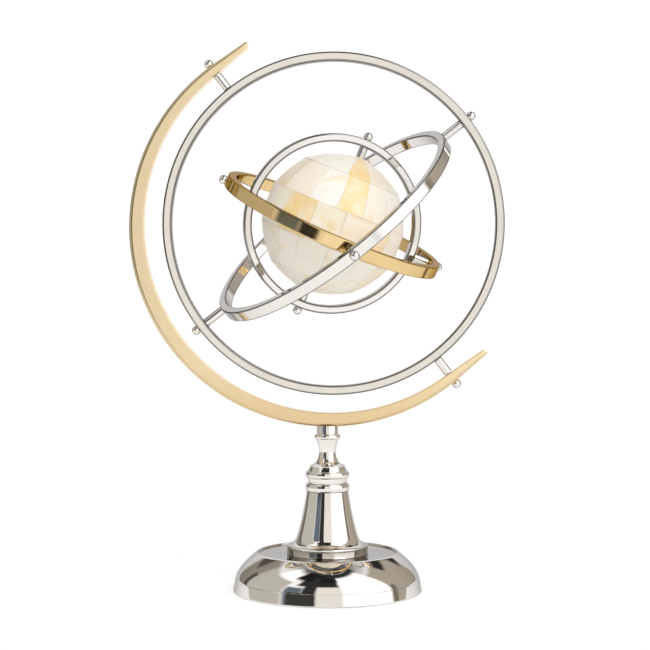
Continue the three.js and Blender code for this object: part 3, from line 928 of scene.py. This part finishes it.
def floor_and_wall():
    """A pale sweep: floor, bend and back wall in one sheet."""
    profile = [(FLOOR_FRONT, 0.0), (WALL_AT - FLOOR_BEND, 0.0)]
    for i in range(1, 13):
        a = math.pi / 2 * i / 12
        profile.append(
            (WALL_AT - FLOOR_BEND + FLOOR_BEND * math.sin(a), FLOOR_BEND * (1 - math.cos(a)))
        )
    profile.append((WALL_AT, WALL_H))
    points, faces = [], []
    for y, z in profile:
        points += [(-FLOOR_HALF, y, z), (FLOOR_HALF, y, z)]
    for i in range(len(profile) - 1):
        faces.append([2 * i, 2 * i + 1, 2 * i + 3, 2 * i + 2])
    mesh = bpy.data.meshes.new("sweep")
    mesh.from_pydata(points, [], faces)
    mesh.shade_smooth()
    material, n = new_material("pale_sweep")
    where = n.add("ShaderNodeTexCoord").outputs["Object"]
    tone = n.blend(n.noise(where, 3, 3), colour(0.39, 0.39, 0.39), colour(0.41, 0.41, 0.41))
    n.finish(Base_Color=tone, Roughness=0.9, Emission_Color=colour(1, 1, 1), Emission_Strength=0.67)
    mesh.materials.append(material)
    sweep = bpy.data.objects.new("sweep", mesh)
    bpy.context.scene.collection.objects.link(sweep)


# The studio round the object, as the polished metal sees it. Each panel has its bearing from the
# camera's side (degrees, to the right), half width, elevation, half height, softness and colour.
# A panel straight behind the object is listed from both sides, and later ones cover earlier ones.
BACKDROP = (0.95, 0.95, 0.95)
CEILING = (0.14, 0.14, 0.135)
PANELS = [
    (-91, 31, 20, 33, 2, (0.58, 0.56, 0.51)),
    (-134, 14, 20, 34, 3, (0.33, 0.30, 0.26)),
    (-123, 4, 14, 18, 2, (0.10, 0.09, 0.08)),
    (-141, 6, 38, 8, 2, (0.10, 0.09, 0.08)),
    (115, 31, 24, 35, 2, (0.48, 0.43, 0.36)),
    (132, 14, 50, 5, 2, (0.03, 0.03, 0.03)),
    (145, 4, 38, 12, 2, (0.04, 0.04, 0.04)),
    (90, 5, 10, 14, 2, (0.22, 0.19, 0.15)),
    (180, 16, 20, 60, 4, (0.45, 0.45, 0.45)),
    (-180, 16, 20, 60, 4, (0.45, 0.45, 0.45)),
    (2, 17, 10, 32, 3, (0.95, 0.92, 0.87)),
    (52, 33, 31, 40, 3, (1.45, 1.45, 1.47)),
    (-80, 22, 62, 9, 3, (1.30, 1.30, 1.30)),
    (-49, 9, 46, 12, 3, (1.10, 1.10, 1.10)),
    (-45, 12, 12, 24, 3, (0.15, 0.18, 0.22)),
    (-15, 32, 55, 12, 3, (0.03, 0.03, 0.03)),
    (-24, 44, 70, 10, 3, (0.015, 0.015, 0.015)),
    (45, 52, 78, 7, 2, (0.03, 0.033, 0.04)),
    (-24, 9, 27, 45, 2, (0.035, 0.035, 0.035)),
    (-35, 17, 7, 3, 1, (0.05, 0.05, 0.045)),
]


def studio():
    """The world: a pale backdrop, a dim ceiling and the panels. The camera itself sees plain white."""
    world = bpy.data.worlds.new("studio")
    bpy.context.scene.world = world
    world.use_nodes = True
    n = Nodes(world.node_tree)
    way = n.add("ShaderNodeSeparateXYZ", {0: n.add("ShaderNodeTexCoord").outputs["Generated"]})
    back = n.math("MULTIPLY", way.outputs[1], -1.0)
    bearing = n.math("MULTIPLY", n.math("ARCTAN2", way.outputs[0], back), 180 / math.pi)
    elevation = n.math("MULTIPLY", n.math("ARCSINE", way.outputs[2]), 180 / math.pi)
    shade = n.blend(n.spread(elevation, 0.0, 1.0, 60, 76), colour(*BACKDROP), colour(*CEILING))
    for at, half, high, tall, soft, tint in PANELS:
        masks = []
        for value, centre, size in ((bearing, at, half), (elevation, high, tall)):
            away = n.math("ABSOLUTE", n.math("SUBTRACT", value, centre))
            masks.append(n.spread(away, 1.0, 0.0, size - soft, size + soft))
        shade = n.blend(n.math("MULTIPLY", masks[0], masks[1]), shade, colour(*tint))
    seen = n.add("ShaderNodeLightPath").outputs["Is Camera Ray"]
    shade = n.blend(seen, shade, colour(1, 1, 1))
    background = n.add("ShaderNodeBackground", {0: shade, 1: 1.0})
    out = n.add("ShaderNodeOutputWorld")
    n.tree.links.new(background.outputs[0], out.inputs[0])


def softbox(name, at, size, power, seen=True):
    """An area light aimed at the gimbal's centre. Unseen, it only lights what isn't polished."""
    lamp = bpy.data.lights.new(name, "AREA")
    lamp.shape = "RECTANGLE"
    lamp.size, lamp.size_y = size
    lamp.energy = power
    light = bpy.data.objects.new(name, lamp)
    light.location = at
    light.visible_glossy = seen
    light.rotation_euler = (CENTRE - Vector(at)).to_track_quat("-Z", "Y").to_euler()
    bpy.context.scene.collection.objects.link(light)


def camera():
    lens = bpy.data.cameras.new("camera")
    lens.lens = CAMERA_LENS
    lens.sensor_width = 36
    view = bpy.data.objects.new("camera", lens)
    view.location = CAMERA_AT
    view.rotation_euler = (math.pi / 2, 0, 0)
    bpy.context.scene.collection.objects.link(view)
    bpy.context.scene.camera = view


# ------------------------------------------------------------------ everything together

camera()
bpy.context.scene.view_settings.view_transform = "Standard"
floor_and_wall()
studio()
softbox("top_softbox", (0.9, -1.1, 1.3), (0.9, 0.9), 4)
softbox("fill", (-0.5, -1.3, 1.1), (1.0, 1.0), 8, seen=False)

base_shell()
felt_pad()
column()
collar()
neck()
arc()
for number in (1, 2, 3, 4):
    ring(number)
for number in (1, 2, 3, 4, 5):
    pin_and_sleeve(number, "a", 1)
    pin_and_sleeve(number, "b", -1)
globe()

CAD_FINISHES = {
    "base_weight": IRON,
    "tie_rod": STEEL,
    "tie_rod_washer": STEEL,
    "tie_rod_nut": STEEL,
    "globe_core": WOOD,
    "arc_screw": NICKEL,
}
for node, finish in CAD_FINISHES.items():
    slots = frame["nodes"][node].data.materials
    slots.clear()
    slots.append(finish)
